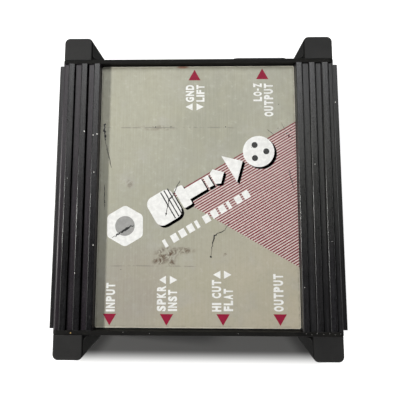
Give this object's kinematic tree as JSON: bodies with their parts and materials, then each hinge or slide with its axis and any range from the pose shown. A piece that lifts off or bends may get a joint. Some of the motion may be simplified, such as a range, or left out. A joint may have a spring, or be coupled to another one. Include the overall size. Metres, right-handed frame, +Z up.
{
  "type": "direct injection box",
  "caption": "Passive direct box: ribbed two-rail aluminium case with corner bumpers, phone jacks, slide switches and a balanced 3-pin output.",
  "frame": {"origin": "centre of the footprint on the surface the rubber feet stand on", "axes": "+Z up, +Y towards the balanced output panel, +X to the right seen from the instrument panel"},
  "size_m": [0.1268, 0.1402, 0.0455],
  "materials": {
    "board_laminate": "green solder mask",
    "bobbin_plastic": "natural nylon",
    "bumper_plastic": "matte charcoal",
    "capacitor_body": "dipped film",
    "contact_metal": "plated spring metal",
    "contact_silver": "silver plate",
    "core_steel": "laminated silicon steel",
    "cover_sheet": "satin black",
    "foot_rubber": "matte",
    "hardware_zinc": "zinc plate",
    "insert_plastic": "black moulded",
    "jack_nickel": "bright nickel",
    "jack_plastic": "black moulded",
    "label_print": "brushed silver print",
    "panel_black": "fine textured black coat",
    "phenolic": "brown laminate",
    "rail_anodised": "satin black anodised aluminium",
    "resistor_body": "blue lacquer",
    "screw_black": "black oxide",
    "slider_plastic": "off-white",
    "strap_steel": "tinned strap",
    "switch_steel": "bright zinc",
    "tinned_wire": "tinned copper",
    "winding_tape": "yellow tape over copper",
    "wire_black": "insulated",
    "wire_green": "insulated",
    "wire_red": "insulated",
    "wire_white": "insulated",
    "xlr_zinc": "black nickel casting"
  },
  "bodies": {
    "case": {"bottom_cover": "cover_sheet", "bumper_front_left": "bumper_plastic", "bumper_front_right": "bumper_plastic", "bumper_rear_left": "bumper_plastic", "bumper_rear_right": "bumper_plastic", "bumper_screws": "screw_black", "capacitors": "capacitor_body", "circuit_board": "board_laminate", "component_leads": "tinned_wire", "filter_switch_base": "phenolic", "filter_switch_frame": "switch_steel", "filter_switch_terminals": "contact_metal", "front_panel": "panel_black", "ground_lug": "hardware_zinc", "ground_switch_base": "phenolic", "ground_switch_frame": "switch_steel", "ground_switch_terminals": "contact_metal", "input_jack_body": "jack_plastic", "input_jack_bushing": "jack_nickel", "input_jack_nut": "jack_nickel", "input_jack_terminals": "contact_metal", "input_jack_washer": "jack_nickel", "left_rail": "rail_anodised", "output_jack_body": "jack_plastic", "output_jack_bushing": "jack_nickel", "output_jack_nut": "jack_nickel", "output_jack_terminals": "contact_metal", "output_jack_washer": "jack_nickel", "pad_switch_base": "phenolic", "pad_switch_frame": "switch_steel", "pad_switch_terminals": "contact_metal", "rear_panel": "panel_black", "resistors": "resistor_body", "right_rail": "rail_anodised", "rubber_feet": "foot_rubber", "top_cover": "cover_sheet", "top_label": "label_print", "transformer_bobbin": "bobbin_plastic", "transformer_core": "core_steel", "transformer_pins": "tinned_wire", "transformer_strap": "strap_steel", "transformer_winding": "winding_tape", "wire_case_ground": "wire_green", "wire_cold": "wire_white", "wire_hot": "wire_red", "wire_shield": "wire_black", "xlr_insert": "insert_plastic", "xlr_nuts": "hardware_zinc", "xlr_pins": "contact_silver", "xlr_screws": "hardware_zinc", "xlr_shell": "xlr_zinc"},
    "pad_slider": {"pad_switch_slider": "slider_plastic", "pad_switch_contacts": "contact_metal"},
    "filter_slider": {"filter_switch_slider": "slider_plastic", "filter_switch_contacts": "contact_metal"},
    "ground_slider": {"ground_switch_slider": "slider_plastic", "ground_switch_contacts": "contact_metal"},
    "input_tip_leaf": {"input_jack_tip_spring": "contact_metal"},
    "output_tip_leaf": {"output_jack_tip_spring": "contact_metal"}
  },
  "joints": [
    {"name": "pad_switch_slide", "type": "slide", "parent": "case", "child": "pad_slider", "axis": [1, 0, 0], "range_m": [-0.004, 0]},
    {"name": "filter_switch_slide", "type": "slide", "parent": "case", "child": "filter_slider", "axis": [1, 0, 0], "range_m": [-0.004, 0]},
    {"name": "ground_switch_slide", "type": "slide", "parent": "case", "child": "ground_slider", "axis": [1, 0, 0], "range_m": [0, 0.004]},
    {"name": "input_tip_leaf_flex", "type": "hinge", "parent": "case", "child": "input_tip_leaf", "pos_m": [-0.0375, -0.0496, 0.0286], "axis": [1, 0, 0], "range_deg": [0, 4.8]},
    {"name": "output_tip_leaf_flex", "type": "hinge", "parent": "case", "child": "output_tip_leaf", "pos_m": [0.0345, -0.0496, 0.0286], "axis": [1, 0, 0], "range_deg": [0, 4.8]}
  ]
}
